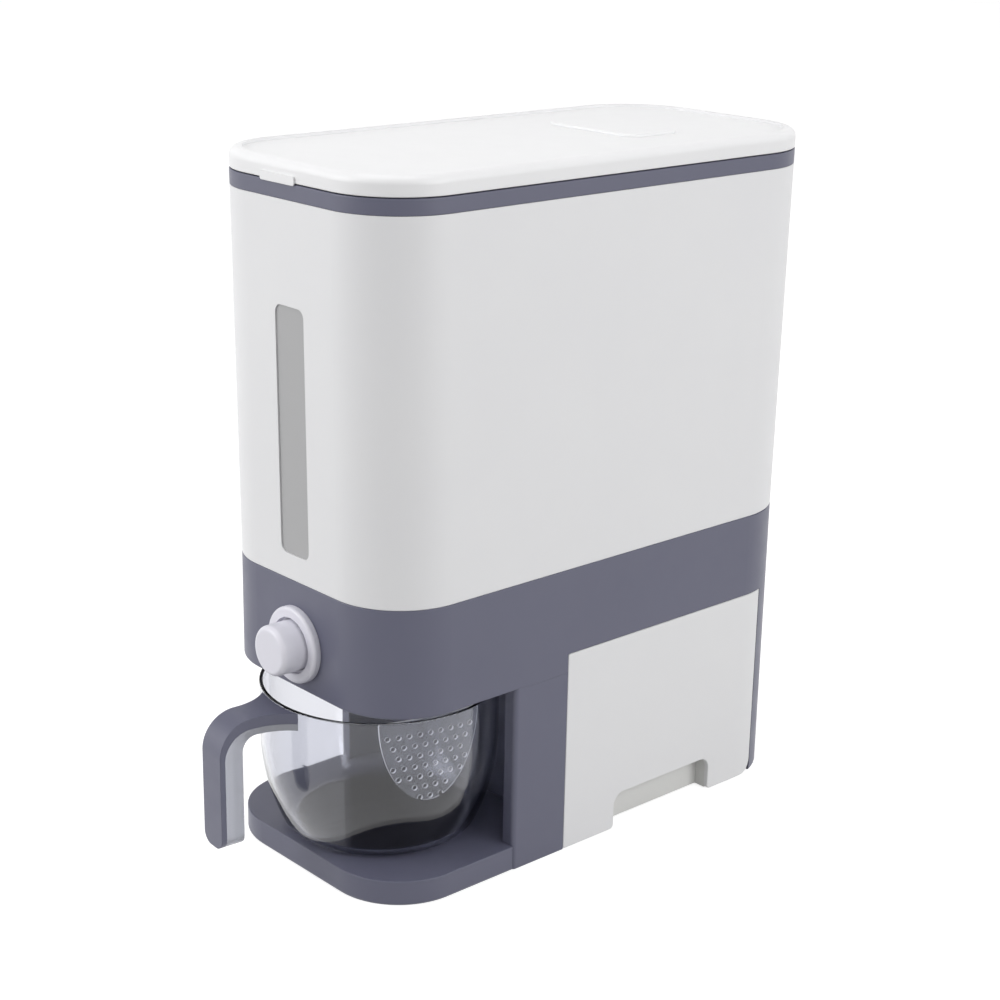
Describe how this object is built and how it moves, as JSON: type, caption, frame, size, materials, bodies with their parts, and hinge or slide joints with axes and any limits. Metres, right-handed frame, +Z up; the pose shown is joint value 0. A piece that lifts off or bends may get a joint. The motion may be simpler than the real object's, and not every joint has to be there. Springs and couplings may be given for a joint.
{
  "type": "rice dispenser with drawer",
  "caption": "tall counter-top rice bin on a grey base: push-button gate over a bay with a clear washing bowl, hinged lid, window strip and a side drawer",
  "frame": {"origin": "centre of the body's footprint, on its flat underside", "axes": "+X right side with the drawer, -Y front with the button and handle, +Z up"},
  "size_m": [0.168, 0.4119, 0.4222],
  "materials": {
    "housing_grey": "moulded blue-grey plastic, satin",
    "shell_white": "moulded white plastic, satin",
    "lid_white": "moulded white plastic, light gloss",
    "button_white": "moulded white plastic, light gloss",
    "inner_white": "moulded white plastic, plain",
    "funnel_white": "moulded white plastic, smooth",
    "window_clear": "frosted clear plastic",
    "bowl_clear": "polished clear plastic",
    "strainer_clear": "polished clear plastic",
    "foot_rubber": "soft rubber",
    "seal_silicone": "soft silicone",
    "screw_steel": "zinc-plated steel",
    "spring_steel": "bright steel wire"
  },
  "bodies": {
    "base": {"base_housing": "housing_grey", "base_column": "housing_grey", "base_plate": "housing_grey", "rubber_feet": "foot_rubber", "base_screws": "screw_steel", "outer_shell": "shell_white", "window_strip": "window_clear", "hopper_funnel": "funnel_white", "gate_body": "inner_white", "gate_cover": "inner_white", "gate_screws": "screw_steel", "spring_bracket": "inner_white", "button_bezel": "button_white", "return_spring": "spring_steel", "collar": "housing_grey", "hinge_pin": "spring_steel", "drawer_runners": "inner_white"},
    "button": {"button_cap": "button_white", "metering_slide": "inner_white"},
    "lid": {"lid": "lid_white", "lid_seal": "seal_silicone", "desiccant_basket": "inner_white"},
    "sachet_cover": {"desiccant_cover": "lid_white"},
    "drawer": {"drawer_front": "shell_white", "drawer_box": "inner_white", "drawer_screws": "screw_steel"},
    "bowl": {"bowl": "bowl_clear", "handle_core": "bowl_clear", "handle_cover": "housing_grey", "strainer": "strainer_clear"}
  },
  "joints": [
    {"name": "lid_hinge", "type": "hinge", "parent": "base", "child": "lid", "pos_m": [0, 0.1805, 0.4112], "axis": [-1, 0, 0], "range_deg": [0, 100]},
    {"name": "button_push", "type": "slide", "parent": "base", "child": "button", "axis": [0, 1, 0], "range_m": [0, 0.014], "stiffness_N_per_m": 300, "deforming": ["return_spring"]},
    {"name": "drawer_slide", "type": "slide", "parent": "base", "child": "drawer", "axis": [1, 0, 0], "range_m": [0, 0.12]},
    {"name": "bowl_draw", "type": "slide", "parent": "base", "child": "bowl", "axis": [0, -1, 0], "range_m": [0, 0.15]},
    {"name": "sachet_cover_lift", "type": "slide", "parent": "lid", "child": "sachet_cover", "axis": [0, 0, 1], "range_m": [0, 0.03]}
  ]
}
